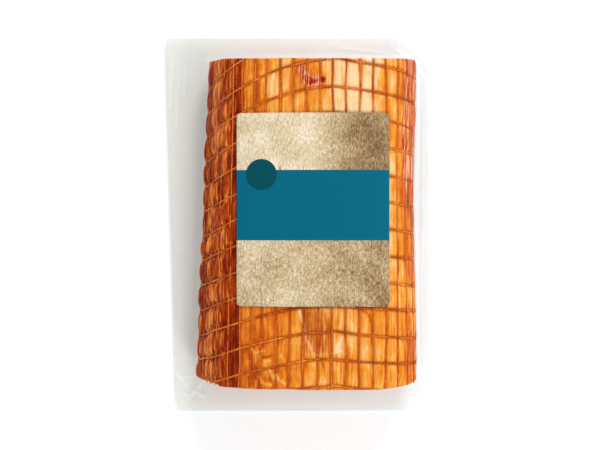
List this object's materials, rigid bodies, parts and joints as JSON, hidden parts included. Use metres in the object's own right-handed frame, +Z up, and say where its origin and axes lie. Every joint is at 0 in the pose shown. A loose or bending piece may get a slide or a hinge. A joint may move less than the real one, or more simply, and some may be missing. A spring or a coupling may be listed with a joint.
{
  "type": "smoked pork loin",
  "caption": "Whole smoked pork loin in a knitted net, vacuum packed flat in a clear film pouch with a plain printed label on its front.",
  "frame": {"origin": "on the resting face, under the middle of the pack", "axes": "+Z up out of the label side, +Y along the pack towards its top end, +X to the right seen from the front; the pack lies on its back"},
  "size_m": [0.1414, 0.1998, 0.0607],
  "materials": {
    "meat": null,
    "net_thread": "twisted yarn, stained orange-brown by smoke",
    "film": "clear vacuum film, glossy, faintly creased, greyish where the two webs meet",
    "label": "satin paper printed as aged kraft board with a plain teal band and disc"
  },
  "bodies": {
    "root": {"loin": "meat", "net_cross_thread_01": "net_thread", "net_cross_thread_02": "net_thread", "net_cross_thread_03": "net_thread", "net_cross_thread_04": "net_thread", "net_cross_thread_05": "net_thread", "net_cross_thread_06": "net_thread", "net_cross_thread_07": "net_thread", "net_cross_thread_08": "net_thread", "net_cross_thread_09": "net_thread", "net_cross_thread_10": "net_thread", "net_cross_thread_11": "net_thread", "net_cross_thread_12": "net_thread", "net_cross_thread_13": "net_thread", "net_cross_thread_14": "net_thread", "net_long_thread_01": "net_thread", "net_long_thread_02": "net_thread", "net_long_thread_03": "net_thread", "net_long_thread_04": "net_thread", "net_long_thread_05": "net_thread", "net_long_thread_06": "net_thread", "net_long_thread_07": "net_thread", "net_long_thread_08": "net_thread", "net_long_thread_09": "net_thread", "net_long_thread_10": "net_thread", "net_long_thread_11": "net_thread", "net_long_thread_12": "net_thread", "net_long_thread_13": "net_thread", "net_long_thread_14": "net_thread", "net_long_thread_15": "net_thread", "net_long_thread_16": "net_thread", "net_long_thread_17": "net_thread", "net_long_thread_18": "net_thread", "net_long_thread_19": "net_thread", "net_long_thread_20": "net_thread", "net_long_thread_21": "net_thread", "net_long_thread_22": "net_thread", "net_long_thread_23": "net_thread", "net_long_thread_24": "net_thread", "net_long_thread_25": "net_thread", "net_long_thread_26": "net_thread", "net_long_thread_27": "net_thread", "net_long_thread_28": "net_thread", "net_long_thread_29": "net_thread", "net_long_thread_30": "net_thread", "net_long_thread_31": "net_thread", "net_long_thread_32": "net_thread", "net_long_thread_33": "net_thread", "net_long_thread_34": "net_thread", "net_long_thread_35": "net_thread", "net_long_thread_36": "net_thread", "net_long_thread_37": "net_thread", "net_long_thread_38": "net_thread", "net_long_thread_39": "net_thread", "net_long_thread_40": "net_thread", "net_long_thread_41": "net_thread", "pouch_back_web": "film", "pouch_front_web": "film", "label": "label"}
  },
  "joints": []
}
